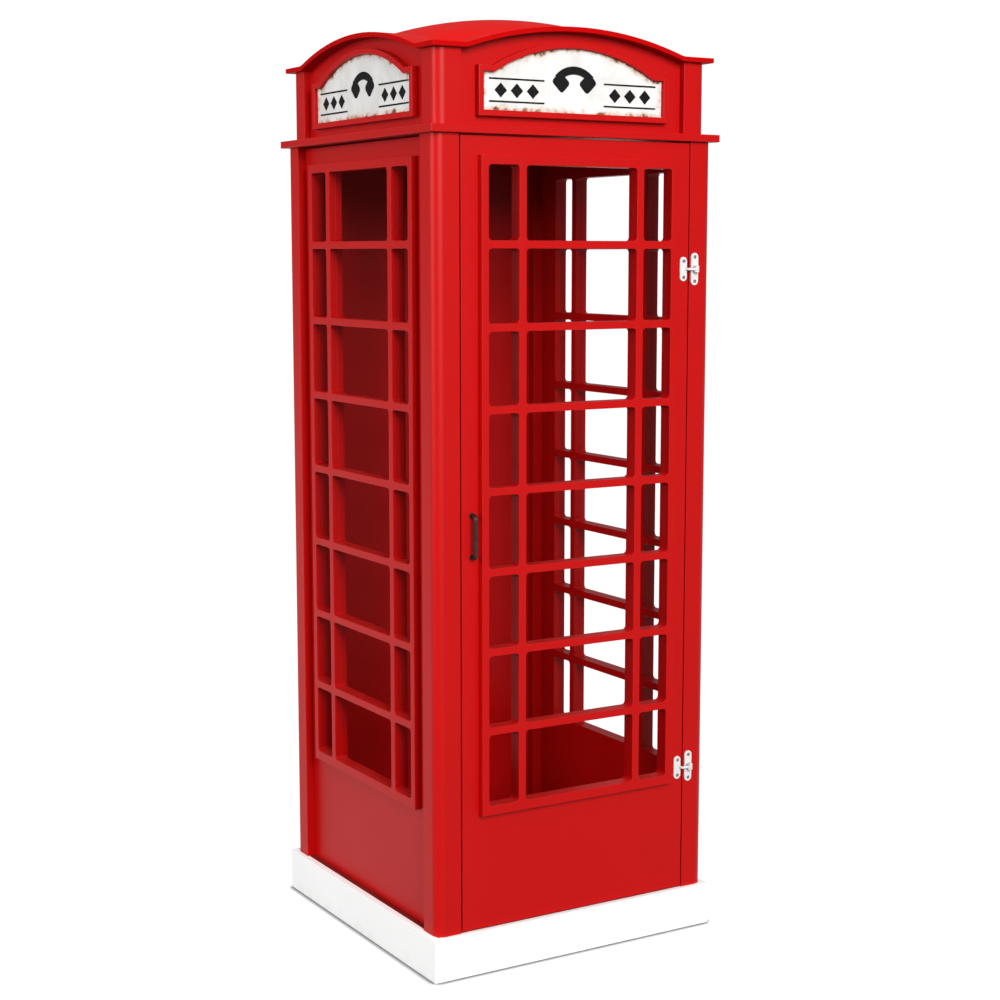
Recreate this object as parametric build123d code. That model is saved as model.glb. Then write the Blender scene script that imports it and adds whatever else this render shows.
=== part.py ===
from build123d import *
import os
from math import sqrt, hypot

# A telephone booth for a street corner, built from painted boards and posts.
# Millimetres. X runs left to right across the door side, Y runs from the door to
# the back wall, Z is up, and the origin is on the ground under the middle of the plinth.

# ---------------------------------------------------------------- driving sizes
booth_width = 790            # outside of the corner posts, left to right
booth_depth = 790            # outside of the corner posts, front to back
board = 18                   # thickness of the plinth, wall, cornice and frame boards
arris = 1.2                  # rounding sanded on the edges that a hand can reach

plinth_height = 106
plinth_overhang = 12         # how far the plinth stands out past the posts
bearer_width = 45            # joists under the floor board
bearer_edge_gap = 60         # from the plinth's inner face to the outer joists

post_size = 67               # square section of every post
post_radius = 25             # rounding on a post's outer corner
post_height = 1900
wall_recess = 22             # from the post faces back to a wall board's outer face
wall_head_gap = 4            # shadow gap between a wall board and the cornice

grid_side_margin = 49        # from a post to the edge of a window grid
grid_head_margin = 48        # from the cornice down to a window grid
grid_foot_height = 288       # plain panel below a window grid
grid_rows = 8
grid_border_side = 19
grid_border_top = 21
grid_border_bottom = 23
grid_mullion = 20            # upright bar beside the narrow panes
grid_bar = 18.6              # level bar between two rows
narrow_pane_width = 83
pane_radius = 9              # rounding in the corners of each pane

door_side_gap = 3
door_foot_gap = 4
door_head_gap = 4

cornice_overhang = 13        # past the corner posts
header_inset = 13            # header posts stand back from the corner posts
header_height = 174          # header posts, cornice to roof
header_recess = 18           # from the header post faces back to a header panel

sign_side_margin = 47        # from a header post to the edge of a sign frame
sign_foot_margin = 24
sign_head_margin = 23        # from the sign frame's crown up to the roof
sign_shoulder_height = 139   # above the cornice
sign_shoulder_length = 40
sign_border = 14
sign_plate_thickness = 8
sign_plate_clearance = 0.5

roof_thickness = 12
roof_overhang = 14           # past the header posts
roof_rise = 51               # of the arch on each edge of the roof
roof_foot_radius = 60        # hollow where an arch meets its level foot

hinge_head_offset = 311      # upper hinge centre, below the cornice
hinge_foot_offset = 321      # lower hinge centre, above the plinth
leaf_width = 22
leaf_thickness = 3
leaf_edge_setback = 4.5      # from the door's or the post's edge to its leaf
door_leaf_length = 60
post_leaf_length = 80
door_leaf_screw_spacing = 40
post_leaf_screw_spacing = 60
pin_radius = 2.5
pin_standoff = 10.5          # pin axis in front of the door's face
pin_clearance = 0.05
pin_head_radius = 4
pin_head_height = 1.6
arm_height = 6
arm_thickness = 5
eye_radius = 7
ear_radius = 6.5
ear_height = 5
ear_gap = 0.4                # above and below the arm

screw_radius = 1.75
screw_length = 18            # under the head
screw_head_radius = 3.3
screw_head_height = 1.8
screw_hole_clearance = 0.15

handle_edge_distance = 27    # from the door's free edge to the handle
handle_centres = 100         # between the handle's two feet
handle_height = 967          # handle centre above the plinth
handle_radius = 5
handle_standoff = 21         # bar axis in front of the door's face
handle_bend_radius = 9
handle_foot_radius = 7
handle_foot_thickness = 2.5
handle_screw_radius = 2
handle_screw_grip = 10       # how deep a screw goes into the handle
handle_screw_head_radius = 4
handle_screw_head_height = 2.4

stop_width = 18              # lath that the door closes against
stop_thickness = 18
stop_gap = 1                 # left for the paint and the bump of the door
catch_plate_thickness = 0.8
catch_plate_width = 10
catch_plate_length = 36
catch_gap = 0.3              # magnet to plate with the door closed
magnet_width = 14
magnet_depth = 14
magnet_length = 46

# ---------------------------------------------------------------- derived places
half_width = booth_width / 2
half_depth = booth_depth / 2
plinth_top = plinth_height
cornice_bottom = plinth_top + post_height
cornice_top = cornice_bottom + board
roof_lip = cornice_top + header_height
door_face = -half_depth

pin_x = half_width - post_size + leaf_edge_setback + leaf_width / 2
pin_y = door_face - pin_standoff
hinge_heights = {
    "upper": cornice_bottom - hinge_head_offset,
    "lower": plinth_top + hinge_foot_offset,
}
door_right = half_width - post_size - door_side_gap
door_left = -door_right
door_leaf_x = door_right - leaf_edge_setback - leaf_width / 2
handle_x = door_left + handle_edge_distance
handle_z = plinth_top + handle_height

# each wall is drawn as the front one, then turned to its side
SIDES = {"front": 0, "right": 90, "back": 180, "left": 270}


def half_span(side):
    """Half the booth's outside length along one wall."""
    return half_width if side in ("front", "back") else half_depth


def half_reach(side):
    """From the booth's middle out to the post faces of one wall."""
    return half_depth if side in ("front", "back") else half_width


def on_wall(side, shape, inset=0):
    """Turn a shape drawn for the front wall, with Y=0 at the post faces, to its side."""
    return Rot(0, 0, SIDES[side]) * Pos(0, inset - half_reach(side), 0) * shape


def block(x_range, y_range, z_range):
    """A plain rectangular block between three pairs of limits."""
    sizes = [high - low for low, high in (x_range, y_range, z_range)]
    centre = [(high + low) / 2 for low, high in (x_range, y_range, z_range)]
    return Pos(*centre) * Box(*sizes)


def soften(shape, edges, radius=arris):
    """Round the chosen edges."""
    return fillet(edges, radius) if radius > 0 and edges else shape


def upright(outline, front, back):
    """Thicken an outline drawn in X and Z, from depth front to depth back."""
    return Pos(0, front, 0) * extrude(Plane.XZ * outline, amount=-(back - front))


# ---------------------------------------------------------------- plinth and floor
def plinth_board(side):
    """One board of the plinth, mitred at both ends."""
    outer = half_span(side) + plinth_overhang
    inner = outer - board
    plan = Polygon((-outer, 0), (outer, 0), (inner, board), (-inner, board), align=None)
    return on_wall(side, extrude(plan, amount=plinth_height), inset=-plinth_overhang)


def floor_board():
    """Floor that drops inside the plinth, flush with its top."""
    inner_x = half_width + plinth_overhang - board
    inner_y = half_depth + plinth_overhang - board
    return block((-inner_x, inner_x), (-inner_y, inner_y), (plinth_top - board, plinth_top))


def floor_bearer(place):
    """One of the three joists that carry the floor, from the ground to the floor board."""
    inner_x = half_width + plinth_overhang - board
    inner_y = half_depth + plinth_overhang - board
    x = place * (inner_x - bearer_edge_gap - bearer_width / 2)
    x_range = (x - bearer_width / 2, x + bearer_width / 2)
    return block(x_range, (-inner_y, inner_y), (0, plinth_top - board))


# ---------------------------------------------------------------- posts
def post(x_sign, y_sign, reach_x, reach_y, bottom, top):
    """A square post with a rounded outer corner, standing at one corner of the booth."""
    x = x_sign * (reach_x - post_size / 2)
    y = y_sign * (reach_y - post_size / 2)
    body = Pos(x, y, (bottom + top) / 2) * Box(post_size, post_size, top - bottom)
    uprights = body.edges().filter_by(Axis.Z)
    outer = uprights.sort_by(lambda e: x_sign * e.center().X + y_sign * e.center().Y)[-1]
    body = fillet(outer, post_radius)
    beside = [e for e in body.edges().filter_by(Axis.Z) if touches_two_flats(e, x, y)]
    return soften(body, beside)


def touches_two_flats(edge, x, y):
    """True for the three square corners of a post whose middle is at x, y."""
    reach = post_size / 2 - 0.01
    place = edge.center()
    return abs(place.X - x) > reach and abs(place.Y - y) > reach


# ---------------------------------------------------------------- window grids
def grid_limits(side):
    """Outer limits of a window grid: half width, bottom and top."""
    half = half_span(side) - post_size - grid_side_margin
    return half, plinth_top + grid_foot_height, cornice_bottom - grid_head_margin


def pane_places(side):
    """Each pane of a wall as (x low, x high, z low, z high), row by row from the top."""
    half, bottom, top = grid_limits(side)
    glass_top = top - grid_border_top
    glass_bottom = bottom + grid_border_bottom
    pane_height = (glass_top - glass_bottom - (grid_rows - 1) * grid_bar) / grid_rows
    edge = half - grid_border_side
    mullion_outer = edge - narrow_pane_width
    mullion_inner = mullion_outer - grid_mullion
    columns = ((-edge, -mullion_outer), (-mullion_inner, mullion_inner), (mullion_outer, edge))
    places = []
    for row in range(grid_rows):
        z_high = glass_top - row * (pane_height + grid_bar)
        places += [(low, high, z_high - pane_height, z_high) for low, high in columns]
    return places


def pane_outlines(side):
    """All the panes of a wall as rounded rectangles in one sketch."""
    panes = Sketch()
    for x_low, x_high, z_low, z_high in pane_places(side):
        pane = RectangleRounded(x_high - x_low, z_high - z_low, pane_radius)
        panes += Pos((x_low + x_high) / 2, (z_low + z_high) / 2) * pane
    return panes


def rectangle(x_low, x_high, z_low, z_high):
    """A plain rectangle between its limits."""
    return Pos((x_low + x_high) / 2, (z_low + z_high) / 2) * Rectangle(x_high - x_low, z_high - z_low)


def window_grid(side, back):
    """The raised grid of a wall, one board cut out, whose back lies at depth back."""
    half, bottom, top = grid_limits(side)
    outline = rectangle(-half, half, bottom, top) - pane_outlines(side)
    grid = upright(outline, back - board, back)
    front_edges = grid.faces().sort_by(Axis.Y)[0].edges()
    return soften(grid, front_edges)


def wall_board(side, with_panes):
    """A wall board between two posts, with or without the panes cut through it."""
    half = half_span(side) - post_size
    outline = rectangle(-half, half, plinth_top, cornice_bottom - wall_head_gap)
    if with_panes:
        outline -= pane_outlines(side)
    return on_wall(side, upright(outline, wall_recess, wall_recess + board))


# ---------------------------------------------------------------- fastenings
def screw(radius, length, head_radius, head_height):
    """A dome-headed screw along +Y, head to the front, with its seat at the origin."""
    shank = Pos(0, length / 2, 0) * Rot(90, 0, 0) * Cylinder(radius, length)
    head = Pos(0, -head_height / 2, 0) * Rot(90, 0, 0) * Cylinder(head_radius, head_height)
    rim = head.faces().sort_by(Axis.Y)[0].edges()
    head = fillet(rim, head_height * 0.6)
    return head + shank


def screw_hole(radius, start, end):
    """A round hole along Y between two depths."""
    length = end - start
    return Pos(0, (start + end) / 2, 0) * Rot(90, 0, 0) * Cylinder(radius, length)


def leaf_screw_places(x, z, spacing):
    """The two screws of a hinge leaf."""
    return [(x, z - spacing / 2), (x, z + spacing / 2)]


def hinge_screw_places(x, spacing):
    """The screws of both hinges' leaves that stand at x."""
    return [p for z in hinge_heights.values() for p in leaf_screw_places(x, z, spacing)]


door_screw_places = hinge_screw_places(door_leaf_x, door_leaf_screw_spacing)
post_screw_places = hinge_screw_places(pin_x, post_leaf_screw_spacing)
handle_foot_places = [(handle_x, handle_z + s * handle_centres / 2) for s in (-1, 1)]


def screw_pilots(places, depth):
    """Holes for hinge screws, from the door's face inwards."""
    hole = screw_hole(screw_radius + screw_hole_clearance, door_face - 1, door_face + depth)
    return [Pos(x, 0, z) * hole for x, z in places]


def hinge_screws(places):
    """Screws with their heads on the hinge leaves."""
    one = screw(screw_radius, screw_length, screw_head_radius, screw_head_height)
    return Compound([Pos(x, door_face - leaf_thickness, z) * one for x, z in places])


# ---------------------------------------------------------------- door
def door_panel():
    """The door's board, cut through by the panes and drilled for its fittings."""
    bottom = plinth_top + door_foot_gap
    top = cornice_bottom - door_head_gap
    outline = rectangle(door_left, door_right, bottom, top) - pane_outlines("front")
    panel = on_wall("front", upright(outline, 0, board))
    outer_face = panel.faces().sort_by(Axis.Y)[0]
    long_edges = [e for e in outer_face.edges().filter_by(Axis.Z) if abs(e.center().X) > door_right - 1]
    panel = soften(panel, long_edges)
    for hole in screw_pilots(door_screw_places, board + 1):
        panel -= hole
    through = screw_hole(handle_screw_radius + screw_hole_clearance, door_face - 1, door_face + board + 1)
    for x, z in handle_foot_places:
        panel -= Pos(x, 0, z) * through
    return panel


def door_handle():
    """A round bar bent back to the door at both ends, with a flat foot at each."""
    low, high = handle_z - handle_centres / 2, handle_z + handle_centres / 2
    bar_y = door_face - handle_standoff
    corners = [(handle_x, door_face, high), (handle_x, bar_y, high),
               (handle_x, bar_y, low), (handle_x, door_face, low)]
    route = FilletPolyline(*corners, radius=handle_bend_radius)
    section = Plane(origin=corners[0], z_dir=(0, -1, 0)) * Circle(handle_radius)
    handle = sweep(section, path=route)
    foot = Rot(90, 0, 0) * Cylinder(handle_foot_radius, handle_foot_thickness)
    foot = fillet(foot.faces().sort_by(Axis.Y)[0].edges(), handle_foot_thickness * 0.5)
    for x, z in handle_foot_places:
        handle += Pos(x, door_face - handle_foot_thickness / 2, z) * foot
    for x, z in handle_foot_places:
        thread = screw_hole(handle_screw_radius, door_face - handle_screw_grip, door_face + 1)
        handle -= Pos(x, 0, z) * thread
    return handle


def handle_screws():
    """Two screws that hold the handle from inside the door."""
    one = screw(handle_screw_radius, board + handle_screw_grip, handle_screw_head_radius,
                handle_screw_head_height)
    one = Rot(0, 0, 180) * one
    return Compound([Pos(x, door_face + board, z) * one for x, z in handle_foot_places])


def door_stop():
    """The lath on the handle-side post that the door closes against."""
    x = -(half_width - post_size)
    y = door_face + board + stop_gap
    return block((x, x + stop_width), (y, y + stop_thickness), (plinth_top, cornice_bottom))


catch_x = -(half_width - post_size) + stop_width + magnet_width / 2


def catch_plate():
    """Steel plate on the door's inner face."""
    x_range = (catch_x - catch_plate_width / 2, catch_x + catch_plate_width / 2)
    z_range = (handle_z - catch_plate_length / 2, handle_z + catch_plate_length / 2)
    y = door_face + board
    return block(x_range, (y, y + catch_plate_thickness), z_range)


def catch_magnet():
    """Magnet block on the door stop, behind the plate."""
    x_range = (catch_x - magnet_width / 2, catch_x + magnet_width / 2)
    z_range = (handle_z - magnet_length / 2, handle_z + magnet_length / 2)
    y = door_face + board + catch_plate_thickness + catch_gap
    magnet = block(x_range, (y, y + magnet_depth), z_range)
    return soften(magnet, magnet.faces().sort_by(Axis.Y)[0].edges(), 1)


# ---------------------------------------------------------------- hinges
def leaf_plate(x, z, length, screw_spacing):
    """A round-ended plate lying on the front face, with its two screw holes."""
    outline = SlotOverall(length, leaf_width, rotation=90)
    for s in (-1, 1):
        outline -= Pos(0, s * screw_spacing / 2) * Circle(screw_radius + screw_hole_clearance)
    plate = upright(outline, -leaf_thickness, 0)
    rim = plate.faces().sort_by(Axis.Y)[0].outer_wire().edges()
    plate = fillet(rim, leaf_thickness * 0.4)
    return Pos(x, door_face, z) * plate


def pin_hole(z):
    """The hole that a hinge pin turns in."""
    height = arm_height + 2 * (ear_gap + ear_height) + 2
    return Pos(pin_x, pin_y, z) * Cylinder(pin_radius + pin_clearance, height)


def door_leaf(z):
    """Hinge leaf on the door, with an arm that reaches across the gap to the pin."""
    plate = leaf_plate(door_leaf_x, z, door_leaf_length, door_leaf_screw_spacing)
    plate_front = door_face - leaf_thickness
    arm_front = pin_y - arm_thickness / 2
    arm_back = pin_y + arm_thickness / 2
    plate_edge = door_leaf_x + leaf_width / 2
    rise = plate_front - arm_front
    plan = Polygon((plate_edge - 2 * rise, plate_front + 0.5), (plate_edge - rise, arm_front),
                   (pin_x, arm_front), (pin_x, arm_back), (plate_edge - 1, arm_back),
                   (plate_edge - 2, plate_front + 0.5), align=None)
    arm = Pos(0, 0, z - arm_height / 2) * extrude(plan, amount=arm_height)
    eye = Pos(pin_x, pin_y, z) * Cylinder(eye_radius, arm_height)
    return plate + arm + eye - pin_hole(z)


def post_leaf(z):
    """Hinge leaf on the post, with two ears that hold the pin above and below the arm."""
    plate = leaf_plate(pin_x, z, post_leaf_length, post_leaf_screw_spacing)
    for s in (-1, 1):
        ear_z = z + s * (arm_height / 2 + ear_gap + ear_height / 2)
        back = block((pin_x - ear_radius, pin_x + ear_radius), (pin_y, door_face - leaf_thickness + 0.5),
                     (ear_z - ear_height / 2, ear_z + ear_height / 2))
        nose = Pos(pin_x, pin_y, ear_z) * Cylinder(ear_radius, ear_height)
        plate += back + nose
    return plate - pin_hole(z)


def hinge_pin(z):
    """Headed pin dropped through the ears and the eye."""
    half_stack = arm_height / 2 + ear_gap + ear_height
    shank = Pos(pin_x, pin_y, z) * Cylinder(pin_radius, 2 * half_stack)
    head_z = z + half_stack + pin_head_height / 2
    head = Pos(pin_x, pin_y, head_z) * Cylinder(pin_head_radius, pin_head_height)
    head = fillet(head.faces().sort_by(Axis.Z)[-1].edges(), pin_head_height * 0.6)
    return shank + head


# ---------------------------------------------------------------- cornice and header
def cornice_board():
    """The board that closes the cabin and stands out all round under the header."""
    x, y = half_width + cornice_overhang, half_depth + cornice_overhang
    cornice = block((-x, x), (-y, y), (cornice_bottom, cornice_top))
    return soften(cornice, cornice.edges())


def roof_foot(half):
    """From the middle to where an arch ends, for a header face of half length half."""
    return half - header_inset - post_size


def arch_points(foot, base):
    """Ends and middles of the arcs of a roof arch, from left to right, at a base height."""
    radius = (foot ** 2 + roof_rise ** 2) / (2 * roof_rise) - roof_foot_radius
    centre_z = base + roof_rise - radius
    hollow_z = base + roof_foot_radius
    reach = radius + roof_foot_radius
    meet_x = foot * radius / reach
    meet_z = centre_z + (hollow_z - centre_z) * radius / reach
    # middle of the hollow: straight from its centre towards the middle of its two ends
    chord_x, chord_z = (foot + meet_x) / 2 - foot, (base + meet_z) / 2 - hollow_z
    scale = roof_foot_radius / hypot(chord_x, chord_z)
    middle_x, middle_z = foot + chord_x * scale, hollow_z + chord_z * scale
    left = [(-foot, base), (-middle_x, middle_z), (-meet_x, meet_z)]
    crown = [(0, base + roof_rise)]
    right = [(-x, z) for x, z in reversed(left)]
    return left + crown + right


def arch_line(foot, base):
    """The three tangent arcs of a roof arch."""
    p = arch_points(foot, base)
    return Curve() + [ThreePointArc(*p[0:3]), ThreePointArc(*p[2:5]), ThreePointArc(*p[4:7])]


def header_panel(side):
    """The panel between two header posts, cut to the roof's arch along its top."""
    foot = roof_foot(half_span(side))
    sides = Polyline((-foot, roof_lip), (-foot, cornice_top), (foot, cornice_top), (foot, roof_lip))
    outline = make_face(arch_line(foot, roof_lip) + sides)
    return on_wall(side, upright(outline, header_recess, header_recess + board), inset=header_inset)


def sign_outline(side, inset):
    """A low box with square shoulders and an arched crown, brought in by an even border."""
    half = roof_foot(half_span(side)) - sign_side_margin
    shoulder = cornice_top + sign_shoulder_height
    crown = roof_lip + roof_rise - sign_head_margin
    arch_half = half - sign_shoulder_length
    arch_rise = crown - shoulder
    arch_radius = (arch_half ** 2 + arch_rise ** 2) / (2 * arch_rise)
    foot = cornice_top + sign_foot_margin + inset
    drop = arch_radius - arch_rise - inset
    arch_foot = sqrt((arch_radius - inset) ** 2 - drop ** 2)
    half, shoulder, crown = half - inset, shoulder - inset, crown - inset
    arch = ThreePointArc((-arch_foot, shoulder), (0, crown), (arch_foot, shoulder))
    sides = Polyline((arch_foot, shoulder), (half, shoulder), (half, foot),
                     (-half, foot), (-half, shoulder), (-arch_foot, shoulder))
    return make_face(arch + sides)


def sign_frame(side):
    """The raised frame round a sign, flush with the header posts."""
    outline = sign_outline(side, 0) - sign_outline(side, sign_border)
    frame = upright(outline, header_recess - board, header_recess)
    frame = soften(frame, frame.faces().sort_by(Axis.Y)[0].edges())
    return on_wall(side, frame, inset=header_inset)


def sign_plate(side):
    """The sign itself, laid in its frame against the header panel."""
    outline = sign_outline(side, sign_border + sign_plate_clearance)
    plate = upright(outline, header_recess - sign_plate_thickness, header_recess)
    return on_wall(side, plate, inset=header_inset)


# ---------------------------------------------------------------- roof
def roof_shell():
    """A sheet whose front arch is carried along the side arch, so it domes in the middle."""
    half_x = half_width - header_inset + roof_overhang
    half_y = half_depth - header_inset + roof_overhang
    foot_x, foot_y = roof_foot(half_width), roof_foot(half_depth)
    top = roof_lip + roof_thickness
    under = arch_line(foot_x, roof_lip)
    over = arch_line(foot_x, top)
    left = Polyline((-foot_x, roof_lip), (-half_x, roof_lip), (-half_x, top), (-foot_x, top))
    right = Polyline((foot_x, roof_lip), (half_x, roof_lip), (half_x, top), (foot_x, top))
    section = Pos(0, -half_y, 0) * (Plane.XZ * make_face(under + over + left + right))
    along = arch_line(foot_y, roof_lip)
    ends = [Line((-half_y, roof_lip), (-foot_y, roof_lip)), Line((foot_y, roof_lip), (half_y, roof_lip))]
    route = Plane.YZ * (Curve() + along + ends)
    return sweep(section, path=Wire(route.edges()), normal=(0, -1, 0))


# ---------------------------------------------------------------- all the pieces
def drilled_for_hinges(hinge_post):
    """The front right post, with the holes for the hinge screws."""
    for hole in screw_pilots(post_screw_places, screw_length - leaf_thickness + 1):
        hinge_post -= hole
    return hinge_post


def build_pieces():
    """Every piece of the booth, by node name."""
    pieces = {}
    for side in SIDES:
        pieces[f"plinth_board_{side}"] = plinth_board(side)
    pieces["floor_board"] = floor_board()
    for name, place in (("left", -1), ("middle", 0), ("right", 1)):
        pieces[f"floor_bearer_{name}"] = floor_bearer(place)

    header_x, header_y = half_width - header_inset, half_depth - header_inset
    for y_name, y_sign in (("front", -1), ("back", 1)):
        for x_name, x_sign in (("left", -1), ("right", 1)):
            corner = f"{y_name}_{x_name}"
            pieces[f"corner_post_{corner}"] = post(x_sign, y_sign, half_width, half_depth,
                                                   plinth_top, cornice_bottom)
            pieces[f"header_post_{corner}"] = post(x_sign, y_sign, header_x, header_y,
                                                   cornice_top, roof_lip)
    pieces["corner_post_front_right"] = drilled_for_hinges(pieces["corner_post_front_right"])

    for side in ("left", "right"):
        pieces[f"wall_board_{side}"] = wall_board(side, with_panes=True)
        pieces[f"window_grid_{side}"] = on_wall(side, window_grid(side, wall_recess))
    pieces["wall_board_back"] = wall_board("back", with_panes=False)

    pieces["door_panel"] = door_panel()
    pieces["door_grid"] = on_wall("front", window_grid("front", 0))
    pieces["door_handle"] = door_handle()
    pieces["door_handle_screws"] = handle_screws()
    for name, z in hinge_heights.items():
        pieces[f"{name}_hinge_door_leaf"] = door_leaf(z)
        pieces[f"{name}_hinge_post_leaf"] = post_leaf(z)
        pieces[f"{name}_hinge_pin"] = hinge_pin(z)
    pieces["door_leaf_screws"] = hinge_screws(door_screw_places)
    pieces["post_leaf_screws"] = hinge_screws(post_screw_places)
    pieces["door_stop"] = door_stop()
    pieces["catch_plate"] = catch_plate()
    pieces["catch_magnet"] = catch_magnet()

    pieces["cornice_board"] = cornice_board()
    for side in SIDES:
        pieces[f"header_panel_{side}"] = header_panel(side)
        pieces[f"sign_frame_{side}"] = sign_frame(side)
        pieces[f"sign_plate_{side}"] = sign_plate(side)
    pieces["roof_shell"] = roof_shell()
    return pieces


os.makedirs("parts", exist_ok=True)
for node, piece in build_pieces().items():
    export_step(piece, f"parts/{node}.step")
    print(node)
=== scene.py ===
# %% [markdown]
# # A telephone booth of painted boards
#
# The booth is a tall box: a white plinth, four rounded posts, two windowed
# walls, a plain back wall, a windowed door on two hinges, a cornice, and a
# header with four signs under an arched roof. The model of its parts, with
# their real sizes and the door's joint, is loaded first and is never moved.
# Every piece made below is put where that model says, in metres.

# %% Load the measured frame
from math import cos, pi, radians, sin, sqrt

import bmesh
import bpy
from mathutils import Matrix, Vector


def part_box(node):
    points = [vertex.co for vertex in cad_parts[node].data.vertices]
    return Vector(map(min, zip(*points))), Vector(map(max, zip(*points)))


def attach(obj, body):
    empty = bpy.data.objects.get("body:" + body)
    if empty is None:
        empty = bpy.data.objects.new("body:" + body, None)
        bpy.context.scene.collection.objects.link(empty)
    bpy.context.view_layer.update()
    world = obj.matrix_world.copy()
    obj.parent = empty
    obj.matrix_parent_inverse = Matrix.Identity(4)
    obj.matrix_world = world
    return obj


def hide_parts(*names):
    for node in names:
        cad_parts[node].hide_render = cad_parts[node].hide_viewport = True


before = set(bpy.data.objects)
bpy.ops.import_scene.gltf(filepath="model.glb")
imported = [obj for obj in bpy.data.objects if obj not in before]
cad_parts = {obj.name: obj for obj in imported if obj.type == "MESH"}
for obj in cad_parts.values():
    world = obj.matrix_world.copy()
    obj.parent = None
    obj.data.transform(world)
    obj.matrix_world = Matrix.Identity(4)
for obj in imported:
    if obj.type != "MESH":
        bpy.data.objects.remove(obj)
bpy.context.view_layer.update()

# %% [markdown]
# ## Tools for the bench
#
# Blender's operators act on whatever is selected, so each helper starts by
# clearing the selection. Edges and faces are then chosen by where they lie,
# which keeps working when a size changes, while picking by index would not.

# %% Choose one piece, or part of a piece
MM = 0.001


def clear_bench():
    """Leaves edit mode and selects nothing."""
    if bpy.context.object and bpy.context.object.mode != "OBJECT":
        bpy.ops.object.mode_set(mode="OBJECT")
    bpy.ops.object.select_all(action="DESELECT")


def take_up(piece):
    """Makes one piece the selected and active one."""
    clear_bench()
    piece.select_set(True)
    bpy.context.view_layer.objects.active = piece


def open_up(piece):
    """Takes a piece up in edit mode."""
    take_up(piece)
    bpy.ops.object.mode_set(mode="EDIT")


def close_up():
    """Leaves edit mode."""
    bpy.ops.object.mode_set(mode="OBJECT")


def pick(piece, kind, wanted):
    """In edit mode, selects the verts, edges or faces for which wanted() is true."""
    bpy.ops.mesh.select_mode(type={"verts": "VERT", "edges": "EDGE", "faces": "FACE"}[kind])
    bpy.ops.mesh.select_all(action="DESELECT")
    mesh = bmesh.from_edit_mesh(piece.data)
    chosen = [part for part in getattr(mesh, kind) if wanted(part)]
    for part in chosen:
        part.select_set(True)
    bmesh.update_edit_mesh(piece.data)
    return len(chosen)


def near(a, b, gap=0.05 * MM):
    """True for two places that are the same, to a twentieth of a millimetre."""
    return abs(a - b) < gap


def lies_at(part, axis, place):
    """True for an edge or face whose points all share a place along an axis."""
    return all(near(v.co[axis], place) for v in part.verts)


def runs_deep(edge):
    """True for an edge that runs straight from front to back."""
    a, b = (v.co for v in edge.verts)
    return near(a.x, b.x) and near(a.z, b.z)


def push(x, y, z):
    """Extrudes what is selected by a step."""
    bpy.ops.mesh.extrude_region_move(TRANSFORM_OT_translate={"value": (x, y, z)})


def cut_across(axis, places):
    """Cuts the piece that is being edited at each place along an axis."""
    normal = [float(k == axis) for k in range(3)]
    for place in places:
        bpy.ops.mesh.select_all(action="SELECT")
        bpy.ops.mesh.bisect(plane_co=[place * n for n in normal], plane_no=normal)


# %% Saw a block, and set a finished shape down
def set_down(piece, name):
    """Names a piece and moves its place, turn and size into its mesh."""
    take_up(piece)
    bpy.ops.object.transform_apply(location=True, rotation=True, scale=True)
    piece.name = piece.data.name = name
    return piece


def saw_block(name, low, high):
    """A square-edged block between two opposite corners."""
    clear_bench()
    middle = [(a + b) / 2 for a, b in zip(low, high)]
    size = [b - a for a, b in zip(low, high)]
    bpy.ops.mesh.primitive_cube_add(size=1, location=middle, scale=size)
    return set_down(bpy.context.object, name)


def copy_piece(piece, name):
    """Another of the same piece, with its own mesh."""
    twin = piece.copy()
    twin.data = piece.data.copy()
    bpy.context.collection.objects.link(twin)
    twin.name = twin.data.name = name
    return twin


def turn_piece(piece, degrees):
    """Turns a piece about the middle of the booth, seen from above."""
    take_up(piece)
    piece.rotation_euler.z = radians(degrees)
    bpy.ops.object.transform_apply(location=False, rotation=True, scale=False)
    return piece


SIDE_TURNS = {"front": 0, "right": 90, "back": 180, "left": 270}


def on_all_sides(first, name):
    """Hands over the front piece, and then three turned copies of it, with their sides."""
    first.name = first.data.name = f"{name}_front"
    yield "front", first
    for side in ("right", "back", "left"):
        yield side, turn_piece(copy_piece(first, f"{name}_{side}"), SIDE_TURNS[side])


# %% [markdown]
# A painted board never has a knife edge: sanding and paint leave it about a
# millimetre round, and that small round is what catches the light. Each piece
# gets it with the bevel operator on chosen edges, or with a Bevel modifier on
# all its square edges. A Weighted Normal modifier then keeps the flats flat.

# %% Ease the edges of a piece and weigh its shading
ARRIS = 1.2 * MM
SQUARE = radians(35)      # faces that meet at more than this make a square edge


def is_square_edge(edge):
    """True where two faces of a piece meet at a clear corner."""
    return len(edge.link_faces) == 2 and edge.calc_face_angle(0) > SQUARE


def round_edges(piece, wanted, radius, steps=3):
    """Rounds the chosen edges of a piece."""
    open_up(piece)
    count = pick(piece, "edges", wanted)
    if count:
        bpy.ops.mesh.bevel(offset=radius, segments=steps, profile=0.5,
                           affect="EDGES", clamp_overlap=False)
    close_up()
    return count


def round_rim(piece, front, radius, steps):
    """Rounds the square edges round the front face of a piece."""
    return round_edges(piece, lambda e: is_square_edge(e) and lies_at(e, 1, front), radius, steps)


def apply_modifier(piece, kind, **settings):
    """Adds one modifier with its settings and applies it at once."""
    take_up(piece)
    modifier = piece.modifiers.new(kind.title(), kind)
    for name, value in settings.items():
        setattr(modifier, name, value)
    bpy.ops.object.modifier_apply(modifier=modifier.name)


def ease_all(piece, radius=ARRIS, steps=2):
    """Rounds every square edge of a piece."""
    apply_modifier(piece, "BEVEL", width=radius, segments=steps, limit_method="ANGLE",
                   angle_limit=SQUARE, use_clamp_overlap=True)


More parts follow.
